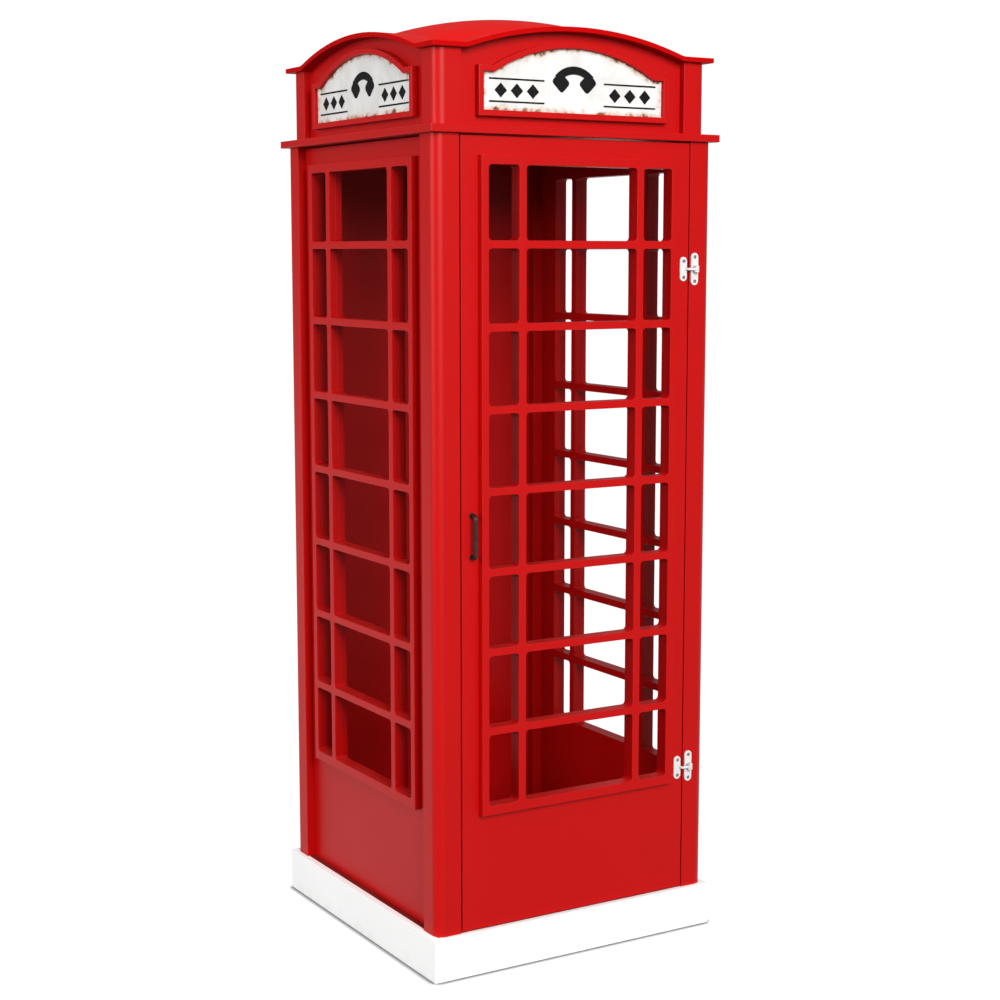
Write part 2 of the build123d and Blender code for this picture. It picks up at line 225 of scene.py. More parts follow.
def smooth(piece, angle=38):
    """Smooth shading that keeps the flats flat and the square edges crisp."""
    take_up(piece)
    bpy.ops.object.shade_smooth_by_angle(angle=radians(angle))
    apply_modifier(piece, "WEIGHTED_NORMAL", weight=80, keep_sharp=True)


# %% [markdown]
# ## Paints and metals
#
# Each finish is built from nodes, with patterns that read the object's own
# coordinates in metres, so the grain stays the same size on every piece. Small
# helpers make what they share: clouds, worn edges, dust on ledges and bumps.

# %% Start a finish and wire its nodes
def start_finish(name):
    """A new material with its shader and its object coordinates."""
    material = bpy.data.materials.new(name)
    material.use_nodes = True
    nodes = material.node_tree.nodes
    nodes.clear()
    shader = nodes.new("ShaderNodeBsdfPrincipled")
    output = nodes.new("ShaderNodeOutputMaterial")
    coords = nodes.new("ShaderNodeTexCoord")
    material.node_tree.links.new(shader.outputs["BSDF"], output.inputs["Surface"])
    return material, shader, coords.outputs["Object"]


def add_node(material, kind, wires=(), **settings):
    """Adds a node, sets its options and wires or fills its inputs."""
    node = material.node_tree.nodes.new(kind)
    for name, value in settings.items():
        setattr(node, name, value)
    for socket, value in dict(wires).items():
        if isinstance(value, bpy.types.NodeSocket):
            material.node_tree.links.new(value, node.inputs[socket])
        else:
            node.inputs[socket].default_value = value
    return node


def speckle(material, coords, scale, detail=3.0, rough=0.55):
    """A cloudy pattern between 0 and 1; scale counts its lumps in a metre."""
    wires = {"Vector": coords, "Scale": scale, "Detail": detail, "Roughness": rough}
    return add_node(material, "ShaderNodeTexNoise", wires).outputs["Fac"]


def spread(material, value, low, high, out_low=0.0, out_high=1.0):
    """Stretches the part of a pattern between low and high over a new range."""
    wires = {"Value": value, "From Min": low, "From Max": high,
             "To Min": out_low, "To Max": out_high}
    return add_node(material, "ShaderNodeMapRange", wires, clamp=True).outputs["Result"]


def times(material, first, second):
    """Two masks multiplied."""
    return add_node(material, "ShaderNodeMath", {0: first, 1: second},
                    operation="MULTIPLY").outputs["Value"]


def blend_colours(material, mask, under, over):
    """One colour where the mask is 0 and another where it is 1."""
    node = add_node(material, "ShaderNodeMix", data_type="RGBA")
    for socket, value in ((node.inputs[0], mask), (node.inputs[6], under), (node.inputs[7], over)):
        if isinstance(value, bpy.types.NodeSocket):
            material.node_tree.links.new(value, socket)
        else:
            socket.default_value = value if socket is node.inputs[0] else (*value, 1.0)
    return node.outputs[2]


def coat(material, shader, colour, gloss, specular=0.5, metallic=0.0):
    """Wires a finish's colour and roughness, and sets how much it mirrors."""
    material.node_tree.links.new(colour, shader.inputs["Base Color"])
    material.node_tree.links.new(gloss, shader.inputs["Roughness"])
    shader.inputs["Specular IOR Level"].default_value = specular
    shader.inputs["Metallic"].default_value = metallic


def wire_bump(material, shader, pattern, depth, strength):
    """A bump of that depth in metres on the shader's normal."""
    wires = {"Height": pattern, "Distance": depth, "Strength": strength}
    bump = add_node(material, "ShaderNodeBump", wires).outputs["Normal"]
    material.node_tree.links.new(bump, shader.inputs["Normal"])


def edge_mask(material, reach=2.2 * MM):
    """1 along the edges, within that reach, and 0 on the flats."""
    rounded = add_node(material, "ShaderNodeBevel", {"Radius": reach}, samples=4)
    geometry = add_node(material, "ShaderNodeNewGeometry")
    wires = {0: rounded.outputs["Normal"], 1: geometry.outputs["Normal"]}
    likeness = add_node(material, "ShaderNodeVectorMath", wires, operation="DOT_PRODUCT")
    return spread(material, likeness.outputs["Value"], 0.98, 0.86)


def facing_up(material, low=0.75, high=0.98):
    """1 on faces that look up, where dust settles and where the roof's painted light goes."""
    geometry = add_node(material, "ShaderNodeNewGeometry")
    axes = add_node(material, "ShaderNodeSeparateXYZ", {0: geometry.outputs["Normal"]})
    return spread(material, axes.outputs["Z"], low, high)


# %% [markdown]
# The booth's red is a satin paint, rolled on smooth board. Its colour is even,
# with faint clouds where the coat is thicker, a slightly worn, lighter line
# along the edges, and a breath of dust on the ledges. Within the walls the red
# is darkened as painted shade, and the roof's upward faces get painted light.

# %% Mix the red paint
INSIDE = 0.356      # the inner faces of the walls stand this far from the middle


def paint_inside_shade(material, coords, paint, shade):
    """Darkens the paint wherever it lies within the walls, as painted shade."""
    place = add_node(material, "ShaderNodeSeparateXYZ", {0: coords})
    across, along = (add_node(material, "ShaderNodeMath", {0: place.outputs[axis]},
                              operation="ABSOLUTE").outputs[0] for axis in "XY")
    reach = add_node(material, "ShaderNodeMath", {0: across, 1: along}, operation="MAXIMUM")
    kept = spread(material, reach.outputs[0], INSIDE, INSIDE + 3 * MM, 1 - shade, 1.0)
    fade = add_node(material, "ShaderNodeVectorMath", {0: paint, "Scale": kept}, operation="SCALE")
    return fade.outputs["Vector"]


DUST = (0.45, 0.13, 0.11)
EDGE_RED = (0.45, 0.016, 0.012)


def red_paint(name, deep, bright, worn, roughness, dustiness, specular, shade=0.0, painted_top_light=None):
    """A satin red from two cloud colours and a worn one, darker inside as painted shade and lighter
    on top as painted light.
    """
    material, shader, coords = start_finish(name)
    clouds = spread(material, speckle(material, coords, 2.5, 5), 0.32, 0.68)
    paint = blend_colours(material, clouds, deep, bright)
    # Painted shade: every face within the walls is darkened by this much.
    if shade:
        paint = paint_inside_shade(material, coords, paint, shade)
    # Painted light: faces that look up are lightened towards this colour.
    if painted_top_light:
        paint = blend_colours(material, facing_up(material, 0.3, 0.8), paint, painted_top_light)
    patches = spread(material, speckle(material, coords, 35), 0.3, 0.7)
    paint = blend_colours(material, times(material, edge_mask(material), patches), paint, worn)
    settled = spread(material, speckle(material, coords, 14, 6), 0.3, 0.75, 0.02, dustiness)
    paint = blend_colours(material, times(material, facing_up(material), settled), paint, DUST)
    gloss = spread(material, speckle(material, coords, 9, 6), 0.3, 0.7,
                   roughness - 0.015, roughness + 0.02)
    coat(material, shader, paint, gloss, specular)
    wire_bump(material, shader, speckle(material, coords, 420, 2), 0.10 * MM, 0.22)
    return material


booth_red = red_paint("booth_satin", (0.378, 0.0008, 0.0008), (0.392, 0.0010, 0.0009), EDGE_RED,
                      roughness=0.40, dustiness=0.12, specular=0.14, shade=0.25)
# The roof's upward faces are lightened as painted light.
roof_red = red_paint("roof_satin", (0.370, 0.0008, 0.0008), (0.385, 0.0010, 0.0009), EDGE_RED,
                     roughness=0.50, dustiness=0.03, specular=0.02,
                     painted_top_light=(0.56, 0.0022, 0.0018))
# The floor red is a darker copy of the booth red, as painted shade on the floor inside the booth.
floor_red_shaded = red_paint("floor_satin_painted_shade", (0.13, 0.0008, 0.0008), (0.17, 0.0010, 0.0010),
                      (0.26, 0.020, 0.014), roughness=0.52, dustiness=0.10, specular=0.12)
print("reds", booth_red.name, roof_red.name, floor_red_shaded.name)

# %% [markdown]
# The plinth is painted a warm off-white. It stands where shoes and mops reach,
# so it is a little greyer near the ground and carries a few faint level scuffs.

# %% Mix the plinth white
def plinth_paint(height):
    """Off-white board paint that greys towards the ground."""
    material, shader, coords = start_finish("plinth_coat")
    clouds = spread(material, speckle(material, coords, 4, 5), 0.3, 0.7)
    paint = blend_colours(material, clouds, (0.85, 0.85, 0.845), (0.88, 0.88, 0.875))
    axes = add_node(material, "ShaderNodeSeparateXYZ", {0: coords})
    low_down = spread(material, axes.outputs["Z"], 0.0, height * 0.35, 1.0, 0.0)
    splashes = spread(material, speckle(material, coords, 22, 7), 0.45, 0.8, 0.0, 0.28)
    paint = blend_colours(material, times(material, low_down, splashes), paint, (0.46, 0.44, 0.41))
    long_way = add_node(material, "ShaderNodeMapping", {"Vector": coords, "Scale": (6, 6, 60)})
    streaks = spread(material, speckle(material, long_way.outputs["Vector"], 3, 6, 0.7),
                     0.68, 0.76, 0.0, 0.10)
    paint = blend_colours(material, streaks, paint, (0.42, 0.41, 0.40))
    gloss = spread(material, speckle(material, coords, 11, 5), 0.3, 0.7, 0.42, 0.56)
    coat(material, shader, paint, gloss, specular=0.4)
    wire_bump(material, shader, speckle(material, coords, 380, 2), 0.3 * MM, 0.3)
    return material


plinth_white = plinth_paint(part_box("plinth_board_front")[1].z)
print("plinth", plinth_white.name)

# %% [markdown]
# The signs are white enamel that has aged: creamy, cracked in fine lines, and
# rusted where water sits, round the edge. The rust follows the rim of each
# plate, so the plate carries an attribute called rim, 1 at its border and 0
# inside, which a node below reads.

# %% Fire the sign enamel
def sign_enamel():
    """Old white enamel with rust that creeps in from the rim."""
    material, shader, coords = start_finish("old_enamel")
    rim = add_node(material, "ShaderNodeAttribute", attribute_name="rim").outputs["Fac"]
    clouds = spread(material, speckle(material, coords, 18, 7), 0.35, 0.7)
    glaze = blend_colours(material, clouds, (0.64, 0.637, 0.628), (0.54, 0.529, 0.505))
    cells = add_node(material, "ShaderNodeTexVoronoi", {"Vector": coords, "Scale": 70.0},
                     feature="DISTANCE_TO_EDGE")
    craze = spread(material, cells.outputs["Distance"], 0.0, 0.02, 0.12, 0.0)
    glaze = blend_colours(material, craze, glaze, (0.45, 0.40, 0.33))
    lumps = speckle(material, coords, 38, 8, 0.68)
    soaked = add_node(material, "ShaderNodeMath", {0: times(material, rim, 0.36), 1: lumps},
                      operation="ADD").outputs["Value"]
    stain = spread(material, soaked, 0.70, 0.92, 0.0, 0.80)
    glaze = blend_colours(material, stain, glaze, (0.36, 0.19, 0.085))
    rust = spread(material, soaked, 0.86, 0.94)
    glaze = blend_colours(material, rust, glaze, (0.115, 0.042, 0.016))
    gloss = spread(material, soaked, 0.7, 0.95, 0.26, 0.85)
    coat(material, shader, glaze, gloss, specular=0.45)
    wire_bump(material, shader, soaked, 0.5 * MM, 0.4)
    return material


sign_white = sign_enamel()
print("sign enamel", sign_white.name)

# %% [markdown]
# The small metal parts: a dark bronze handle rubbed brown on its edges, hinges
# enamelled white, zinc-plated screws, and the black of the signs' picture.
# Metals are told apart by how much they mirror, so the metallic value and the
# roughness matter more than the colour.

# %% Finish the metals
def metal(name, dark, light, metallic, roughness, worn, wear_scale, grain_depth, specular=0.5):
    """A metal or a coated metal, from two cloud colours and its worn colour."""
    material, shader, coords = start_finish(name)
    clouds = spread(material, speckle(material, coords, 60, 5), 0.3, 0.7)
    colour = blend_colours(material, clouds, dark, light)
    patches = spread(material, speckle(material, coords, wear_scale, 5), 0.4, 0.65)
    rubbed = times(material, edge_mask(material, 0.8 * MM), patches)
    colour = blend_colours(material, rubbed, colour, worn)
    gloss = spread(material, speckle(material, coords, 130, 5), 0.3, 0.7, roughness - 0.07,
                   roughness + 0.09)
    coat(material, shader, colour, gloss, specular, metallic)
    wire_bump(material, shader, speckle(material, coords, 1400, 2), grain_depth, 0.3)
    return material


handle_bronze = metal("dark_bronze", (0.014, 0.010, 0.009), (0.030, 0.019, 0.014), metallic=0.65,
                      roughness=0.36, worn=(0.17, 0.075, 0.035), wear_scale=90,
                      grain_depth=0.08 * MM)
hinge_white = metal("hinge_enamel", (0.55, 0.55, 0.545), (0.61, 0.61, 0.60), metallic=0.0,
                    roughness=0.32, worn=(0.55, 0.53, 0.50), wear_scale=160,
                    grain_depth=0.06 * MM)
bare_steel = metal("zinc_plate", (0.13, 0.14, 0.14), (0.20, 0.21, 0.21), metallic=0.55,
                   roughness=0.42, worn=(0.40, 0.41, 0.41), wear_scale=200,
                   grain_depth=0.05 * MM)
magnet_case = metal("magnet_shell", (0.022, 0.021, 0.020), (0.042, 0.040, 0.038), metallic=0.0,
                    roughness=0.52, worn=(0.10, 0.10, 0.10), wear_scale=120,
                    grain_depth=0.10 * MM)
sign_black = metal("sign_black", (0.005, 0.005, 0.006), (0.009, 0.008, 0.008), metallic=0.0,
                   roughness=0.60, worn=(0.020, 0.016, 0.014), wear_scale=70,
                   grain_depth=0.04 * MM, specular=0.06)
print("metals", handle_bronze.name, hinge_white.name, bare_steel.name, magnet_case.name)

# %% [markdown]
# The joists under the floor are sawn softwood. Wood grain is a noise that is
# stretched along the plank, which here runs front to back.

# %% Saw the softwood
def softwood():
    """Sawn pine with its grain along Y."""
    material, shader, coords = start_finish("softwood")
    along = add_node(material, "ShaderNodeMapping", {"Vector": coords, "Scale": (60, 2.5, 60)})
    grain = speckle(material, along.outputs["Vector"], 2.0, 8, 0.7)
    rings = spread(material, grain, 0.35, 0.65)
    colour = blend_colours(material, rings, (0.58, 0.40, 0.22), (0.36, 0.22, 0.11))
    coat(material, shader, colour, spread(material, grain, 0.3, 0.7, 0.62, 0.8))
    wire_bump(material, shader, grain, 0.6 * MM, 0.5)
    return material


bare_timber = softwood()
FINISHES = {"red_paint": booth_red, "roof_red": roof_red, "plinth_white": plinth_white,
            "sign_white": sign_white, "handle_bronze": handle_bronze, "hinge_white": hinge_white,
            "bare_steel": bare_steel, "magnet_case": magnet_case, "bare_timber": bare_timber,
            "floor": floor_red_shaded}
print("finishes", len(FINISHES))


# %% [markdown]
# When a piece is finished it gets its paint, is fixed to the body that it
# moves with, and takes the place of the plain part that it was made over.
# The parts that nobody sees, such as the joists, stay as they are and only get
# their finish.

# %% Hand a piece over to the booth or to the door
def fit(piece, body, slot, *stands_for, finish=None):
    """Paints a piece, fixes it to its body and hides the plain parts it stands for."""
    piece.data.materials.clear()
    piece.data.materials.append(finish or FINISHES[slot])
    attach(piece, body)
    if stands_for:
        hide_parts(*stands_for)
    size = " x ".join(f"{side / MM:.0f}" for side in piece.dimensions)
    print(f"{piece.name}: {size} mm, {len(piece.data.polygons)} faces")


KEPT = {"floor_board": "floor",
        "floor_bearer_left": "bare_timber",
        "floor_bearer_middle": "bare_timber", "floor_bearer_right": "bare_timber",
        "wall_board_back": "red_paint", "door_stop": "red_paint",
        "catch_plate": "bare_steel", "catch_magnet": "magnet_case"}
for part, slot in KEPT.items():
    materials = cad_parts[part].data.materials
    materials.clear()
    materials.append(FINISHES[slot])
print("kept with a new finish:", ", ".join(KEPT))

# %% [markdown]
# ## The plinth
#
# Four boards meet at mitred corners, like a picture frame. A mitre is cut here
# by bisecting a block with a slanting plane at each end and throwing the
# offcut away. One board is made, and three copies are turned to their sides.

# %% Mitre one plinth board and turn three copies
def mitre(piece, low, high):
    """Cuts both ends of a front board at 45 degrees, longer on the outside."""
    open_up(piece)
    for side, corner in ((-1, low.x), (1, high.x)):
        bpy.ops.mesh.select_all(action="SELECT")
        bpy.ops.mesh.bisect(plane_co=(corner, low.y, 0), plane_no=(side, 1, 0),
                            use_fill=True, clear_outer=True)
    close_up()


low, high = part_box("plinth_board_front")
plinth_board = saw_block("plinth_front", low, high)
mitre(plinth_board, low, high)
ease_all(plinth_board, 0.8 * MM)
smooth(plinth_board)
for side, board in on_all_sides(plinth_board, "plinth"):
    fit(board, "booth", "plinth_white", f"plinth_board_{side}")

# %% [markdown]
# ## The posts
#
# Each post is a square timber whose outer corner is planed to a big round. The
# block is sawn, that one upright edge is bevelled in many steps, and then all
# the other edges get their small arris.

# %% Plane the corner posts and the header posts
POST_ROUND = 25 * MM
ROUND_STEPS = 14


def plane_post(name, part, x_side, y_side):
    """A post over its plain part, rounded on the corner that looks outwards."""
    low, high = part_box(part)
    piece = saw_block(name, low, high)
    x, y = (low, high)[x_side > 0].x, (low, high)[y_side > 0].y
    round_edges(piece, lambda e: lies_at(e, 0, x) and lies_at(e, 1, y), POST_ROUND, ROUND_STEPS)
    ease_all(piece)
    smooth(piece)
    return piece


for y_name, y_side in (("front", -1), ("back", 1)):
    for x_name, x_side in (("left", -1), ("right", 1)):
        for kind in ("corner", "header"):
            part = f"{kind}_post_{y_name}_{x_name}"
            post = plane_post(f"{kind}_{y_name}_{x_name}", part, x_side, y_side)
            fit(post, "booth", "red_paint", part)

# %% [markdown]
# ## Windowed walls, window grids and the door
#
# A wall and its raised grid are two boards with the same 24 openings: a narrow,
# a wide and a narrow pane in each of eight rows. A sheet is cut along every
# edge line of the panes, the faces in the panes are deleted, and the rest is
# pushed out to the thickness of the board. Last, the corners of the panes are
# rounded, and the edges that face out get their arris.

# %% Work out the edge lines of the panes
GRID_SIDE, GRID_HEAD, GRID_FOOT = 19 * MM, 21 * MM, 23 * MM
MULLION, BAR, NARROW_PANE = 20 * MM, 18.6 * MM, 83 * MM
ROWS = 8
PANE_ROUND = 9 * MM


def pane_lines(half, bottom, top):
    """The upright and the level edge lines of a wall's panes."""
    edge = half - GRID_SIDE
    uprights = [edge, edge - NARROW_PANE, edge - NARROW_PANE - MULLION]
    uprights = sorted([-x for x in uprights] + uprights)
    glass_top, glass_foot = top - GRID_HEAD, bottom + GRID_FOOT
    pane = (glass_top - glass_foot - (ROWS - 1) * BAR) / ROWS
    levels = []
    for row in range(ROWS):
        foot = glass_foot + row * (pane + BAR)
        levels += [foot, foot + pane]
    return uprights, levels


def between_pairs(value, lines):
    """True where a value lies between the first and second, or third and fourth line."""
    return any(low < value < high for low, high in zip(lines[::2], lines[1::2]))


grid_low, grid_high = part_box("door_grid")
UPRIGHTS, LEVELS = pane_lines(grid_high.x, grid_low.z, grid_high.z)
print("upright lines", [round(x / MM) for x in UPRIGHTS])
print("level lines", [round(z / MM) for z in LEVELS])


# %% Cut the openings out of a board
def cut_sheet(name, low, high, uprights, levels):
    """A flat upright sheet at the front of a board, cut along the given lines."""
    clear_bench()
    middle = ((low.x + high.x) / 2, low.y, (low.z + high.z) / 2)
    bpy.ops.mesh.primitive_plane_add(size=1, location=middle, rotation=(pi / 2, 0, 0))
    sheet = bpy.context.object
    sheet.scale = (high.x - low.x, high.z - low.z, 1)
    open_up(set_down(sheet, name))
    cut_across(0, uprights)
    cut_across(2, levels)
    return sheet


def thicken(x, y, z):
    """Gives the sheet that is being edited its thickness, and leaves edit mode."""
    bpy.ops.mesh.select_all(action="SELECT")
    push(x, y, z)
    bpy.ops.mesh.select_all(action="SELECT")
    bpy.ops.mesh.normals_make_consistent(inside=False)
    close_up()


def window_board(name, low, high):
    """A board with the booth's 24 openings, drawn for the front wall."""
    board = cut_sheet(name, low, high, UPRIGHTS, LEVELS)
    pick(board, "faces", lambda f: between_pairs(f.calc_center_median().x, UPRIGHTS)
         and between_pairs(f.calc_center_median().z, LEVELS))
    bpy.ops.mesh.delete(type="FACE")
    thicken(0, high.y - low.y, 0)

    def at_pane_corner(edge):
        end = edge.verts[0].co
        return (runs_deep(edge) and any(near(end.x, x) for x in UPRIGHTS)
                and any(near(end.z, z) for z in LEVELS))

    corners = round_edges(board, at_pane_corner, PANE_ROUND, 5)
    eased = round_rim(board, low.y, ARRIS, 2)
    smooth(board)
    print(f"{name}: {corners} pane corners, {eased} front edges")
    return board


# %% Make the door's panel and its raised grid
door_low, door_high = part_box("door_panel")
door_board = window_board("door_board", door_low, door_high)
door_window = window_board("door_window", grid_low, grid_high)
fit(door_board, "door", "red_paint", "door_panel")
fit(door_window, "door", "red_paint", "door_grid")

# %% [markdown]
# The side walls are the same two boards, set back between the posts. They are
# drawn on the front, where the sheet is easy to think about, and turned.

# %% Make the side walls and their grids
def drawn_on_front(part):
    """The limits of a part once its wall is turned round to the front."""
    low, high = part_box(part)
    reach = max(abs(low.x), abs(high.x))
    depth = high.x - low.x
    return Vector((low.y, -reach, low.z)), Vector((high.y, depth - reach, high.z))


for side in ("left", "right"):
    for part, name in ((f"wall_board_{side}", f"wall_{side}"),
                       (f"window_grid_{side}", f"window_{side}")):
        board = window_board(name, *drawn_on_front(part))
        turn_piece(board, SIDE_TURNS[side])
        fit(board, "booth", "red_paint", part)

# %% [markdown]
# ## Cornice
#
# One wide board lies on the posts and stands out past them all round. Its edge
# shows as a thin light line from below, so it gets a slightly larger arris.

# %% Lay the cornice
cornice = saw_block("cornice", *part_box("cornice_board"))
ease_all(cornice, 1.8 * MM, 3)
smooth(cornice)
fit(cornice, "booth", "red_paint", "cornice_board")

# %% [markdown]
# ## The header and its arch
#
# Each header panel ends in a long arch with a small hollow at both feet. The
# arch is three tangent arcs, and one function gives its height at any place.
# A sheet is cut into strips, and the top of each strip is lifted by that much.

# %% Draw the arch
ROOF_RISE = 51 * MM
HOLLOW = 60 * MM
panel_low, panel_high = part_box("header_panel_front")
ARCH_FOOT = panel_high.x
ROOF_LIP = panel_high.z - ROOF_RISE
ARCH_RADIUS = (ARCH_FOOT ** 2 + ROOF_RISE ** 2) / (2 * ROOF_RISE) - HOLLOW
MEET = ARCH_FOOT * ARCH_RADIUS / (ARCH_RADIUS + HOLLOW)


def arch_height(place):
    """How high the arch stands over its feet at a distance from the middle."""
    place = abs(place)
    if place >= ARCH_FOOT:
        return 0.0
    if place > MEET:
        return HOLLOW - sqrt(HOLLOW ** 2 - (ARCH_FOOT - place) ** 2)
    return ROOF_RISE - ARCH_RADIUS + sqrt(ARCH_RADIUS ** 2 - place ** 2)


def arch_stations(crown_strips=28, hollow_strips=5):
    """Where the arch is cut into strips, closer together in the hollows."""
    crown = [MEET * (2 * k / crown_strips - 1) for k in range(crown_strips + 1)]
    hollow = [MEET + (ARCH_FOOT - MEET) * k / hollow_strips for k in range(1, hollow_strips)]
    return sorted(crown + hollow + [-x for x in hollow])


def lift_lines(piece, axis, places, height, wanted=lambda v: True):
    """Lifts each line of points that share a place along an axis."""
    for place in places:
        rise = height(place)
        if rise and pick(piece, "verts", lambda v: near(v.co[axis], place) and wanted(v)):
            bpy.ops.transform.translate(value=(0, 0, rise))


STATIONS = arch_stations()
print(f"arch radius {ARCH_RADIUS / MM:.0f} mm, {len(STATIONS)} stations")

# %% Cut the four header panels
def header_panel():
    """The front header panel, with its arched top."""
    low, high = panel_low, Vector((panel_high.x, panel_high.y, ROOF_LIP))
    panel = cut_sheet("header_front", low, high, STATIONS, [])
    lift_lines(panel, 0, STATIONS, arch_height, lambda v: near(v.co.z, ROOF_LIP))
    thicken(0, panel_high.y - panel_low.y, 0)
    smooth(panel)
    return panel


for side, panel in on_all_sides(header_panel(), "header"):
    fit(panel, "booth", "red_paint", f"header_panel_{side}")

# %% [markdown]
# ## Signs
#
# Each sign lies in a raised frame with square shoulders and an arched crown.
# The outline is made as one flat face, and the inset operator then draws the
# even border: the ring is the frame, and the face inside it is the plate.

# %% Draw the outline of a sign
SIGN_BORDER = 14 * MM
SIGN_GAP = 0.5 * MM
SHOULDER_LENGTH = 40 * MM
SHOULDER_RISE = 139 * MM
frame_low, frame_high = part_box("sign_frame_front")
SHOULDER = panel_low.z + SHOULDER_RISE
CROWN_FOOT = frame_high.x - SHOULDER_LENGTH
CROWN_RISE = frame_high.z - SHOULDER
CROWN_RADIUS = (CROWN_FOOT ** 2 + CROWN_RISE ** 2) / (2 * CROWN_RISE)


def crown_height(place):
    """How high the crown of a sign stands over its shoulders."""
    if abs(place) >= CROWN_FOOT:
        return 0.0
    return CROWN_RISE - CROWN_RADIUS + sqrt(CROWN_RADIUS ** 2 - place ** 2)


def sign_outline(name):
    """The outer outline of a sign frame as one flat face, still in edit mode."""
    high = Vector((frame_high.x, frame_high.y, SHOULDER))
    strips = [CROWN_FOOT * (k / 20 - 1) for k in range(41)]
    sheet = cut_sheet(name, frame_low, high, strips, [])
    lift_lines(sheet, 0, strips, crown_height, lambda v: near(v.co.z, SHOULDER))
    pick(sheet, "edges", lambda e: len(e.link_faces) == 2)
    bpy.ops.mesh.dissolve_edges(use_verts=False)
    return sheet


def inset_face(thickness):
    """Insets the one selected face by an even border."""
    bpy.ops.mesh.inset(thickness=thickness, use_even_offset=True, use_boundary=True)


def inset_outline(name, thickness):
    """The outline of a sign, with its face inset and selected."""
    sheet = sign_outline(name)
    bpy.ops.mesh.select_mode(type="FACE")
    bpy.ops.mesh.select_all(action="SELECT")
    inset_face(thickness)
    return sheet


# %% Make the sign frames
def sign_frame():
    """The raised frame of the front sign."""
    ring = inset_outline("sign_frame", SIGN_BORDER)
    bpy.ops.mesh.delete(type="FACE")
    thicken(0, frame_high.y - frame_low.y, 0)
    round_rim(ring, frame_low.y, 1.6 * MM, 3)
    smooth(ring)
    return ring


for side, ring in on_all_sides(sign_frame(), "signframe"):
    fit(ring, "booth", "red_paint", f"sign_frame_{side}")

# %% Fire the sign plates, with the rim marked for the rust
RIM_STEPS = ((5 * MM, 0.85), (8 * MM, 0.45), (11 * MM, 0.0))      # width, rust at its inner line


def rounded_place(point):
    """A point's place, rounded so that it can be looked up."""
    return tuple(round(c, 6) for c in point.co)


def sign_plate():
    """The front sign's enamel plate, with its rim attribute."""
    low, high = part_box("sign_plate_front")
    plate = inset_outline("sign_plate", SIGN_BORDER + SIGN_GAP)
    bpy.ops.mesh.select_all(action="INVERT")
    bpy.ops.mesh.delete(type="FACE")
    bpy.ops.mesh.select_all(action="SELECT")
    bpy.ops.transform.translate(value=(0, low.y - frame_low.y, 0))
    marks = []
    for width, rust in RIM_STEPS:
        inset_face(width)
        mesh = bmesh.from_edit_mesh(plate.data)
        marks.append(({rounded_place(v) for v in mesh.verts if v.select}, rust))
    thicken(0, high.y - low.y, 0)
    rim = plate.data.attributes.new("rim", "FLOAT", "POINT")
    for vertex in plate.data.vertices:
        place = rounded_place(vertex)
        rim.data[vertex.index].value = next((rust for places, rust in marks if place in places),
                                            1.0)
    smooth(plate)
    return plate


for side, plate in on_all_sides(sign_plate(), "signplate"):
    fit(plate, "booth", "sign_white", f"sign_plate_{side}")

# %% [markdown]
# The signs carry a plain picture of a telephone handset in black enamel, with
# a band of lozenges between two ruled lines at each side. It says what the
# booth is in any language. The grip is a short line spun round a centre, and
# the two cups, the lozenges and the rules are blocks with rounded corners.

# %% Spin the grip of the handset
plate_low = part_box("sign_plate_front")[0]
MARK_THICK = 0.8 * MM
MARK_FACE = plate_low.y
MARK_MIDDLE = plate_low.z + 46 * MM
GRIP_RADIUS, GRIP_WIDTH, GRIP_TURN = 66 * MM, 19 * MM, radians(92)
GRIP_CENTRE = Vector((0, MARK_FACE, plate_low.z + 34 * MM))


def handset_grip():
    """The curved grip of the handset, spun from the edge of a small sheet."""
    clear_bench()
    start = -GRIP_TURN / 2
    across = Vector((sin(start), 0, cos(start)))
    middle = GRIP_CENTRE + across * GRIP_RADIUS
    bpy.ops.mesh.primitive_plane_add(size=GRIP_WIDTH, location=middle, rotation=(pi / 2, 0, 0))
    grip = set_down(bpy.context.object, "grip")
    open_up(grip)
    pick(grip, "verts", lambda v: v.co.x > middle.x)
    bpy.ops.mesh.delete(type="VERT")
    ends = bmesh.from_edit_mesh(grip.data)
    radii = GRIP_RADIUS - GRIP_WIDTH / 2, GRIP_RADIUS + GRIP_WIDTH / 2
    for vertex, radius in zip(ends.verts, radii):
        vertex.co = GRIP_CENTRE + across * radius
    bmesh.update_edit_mesh(grip.data)
    bpy.ops.mesh.select_all(action="SELECT")
    bpy.ops.mesh.spin(steps=24, angle=-GRIP_TURN, center=GRIP_CENTRE, axis=(0, 1, 0))
    thicken(0, -MARK_THICK, 0)
    return grip


grip = handset_grip()
print("grip", [round(c / MM) for c in grip.dimensions])


# %% Add the cups and the bands, and join them
def mark_block(name, x, z, width, height, turn, round_off, thickness=MARK_THICK):
    """A rounded black block on the sign's face, turned in its plane."""
    block = saw_block(name, (-width / 2, MARK_FACE - thickness, -height / 2),
                      (width / 2, MARK_FACE, height / 2))
    round_edges(block, runs_deep, round_off, 6)
    block.rotation_euler.y = turn
    block.location = (x, 0, z)
    return set_down(block, name)


def join_pieces(pieces, name):
    """Joins several shapes into the first one."""
    take_up(pieces[0])
    for piece in pieces[1:]:
        piece.select_set(True)
    bpy.ops.object.join()
    pieces[0].name = pieces[0].data.name = name
    return pieces[0]


BAND_MIDDLE, BAND_LENGTH, BAND_HALF = 160 * MM, 152 * MM, 26 * MM
LOZENGE, LOZENGE_GAP = 24 * MM, 44 * MM
CUP_REACH, CUP_WIDTH, CUP_HEIGHT = GRIP_RADIUS - 13 * MM, 34 * MM, 40 * MM


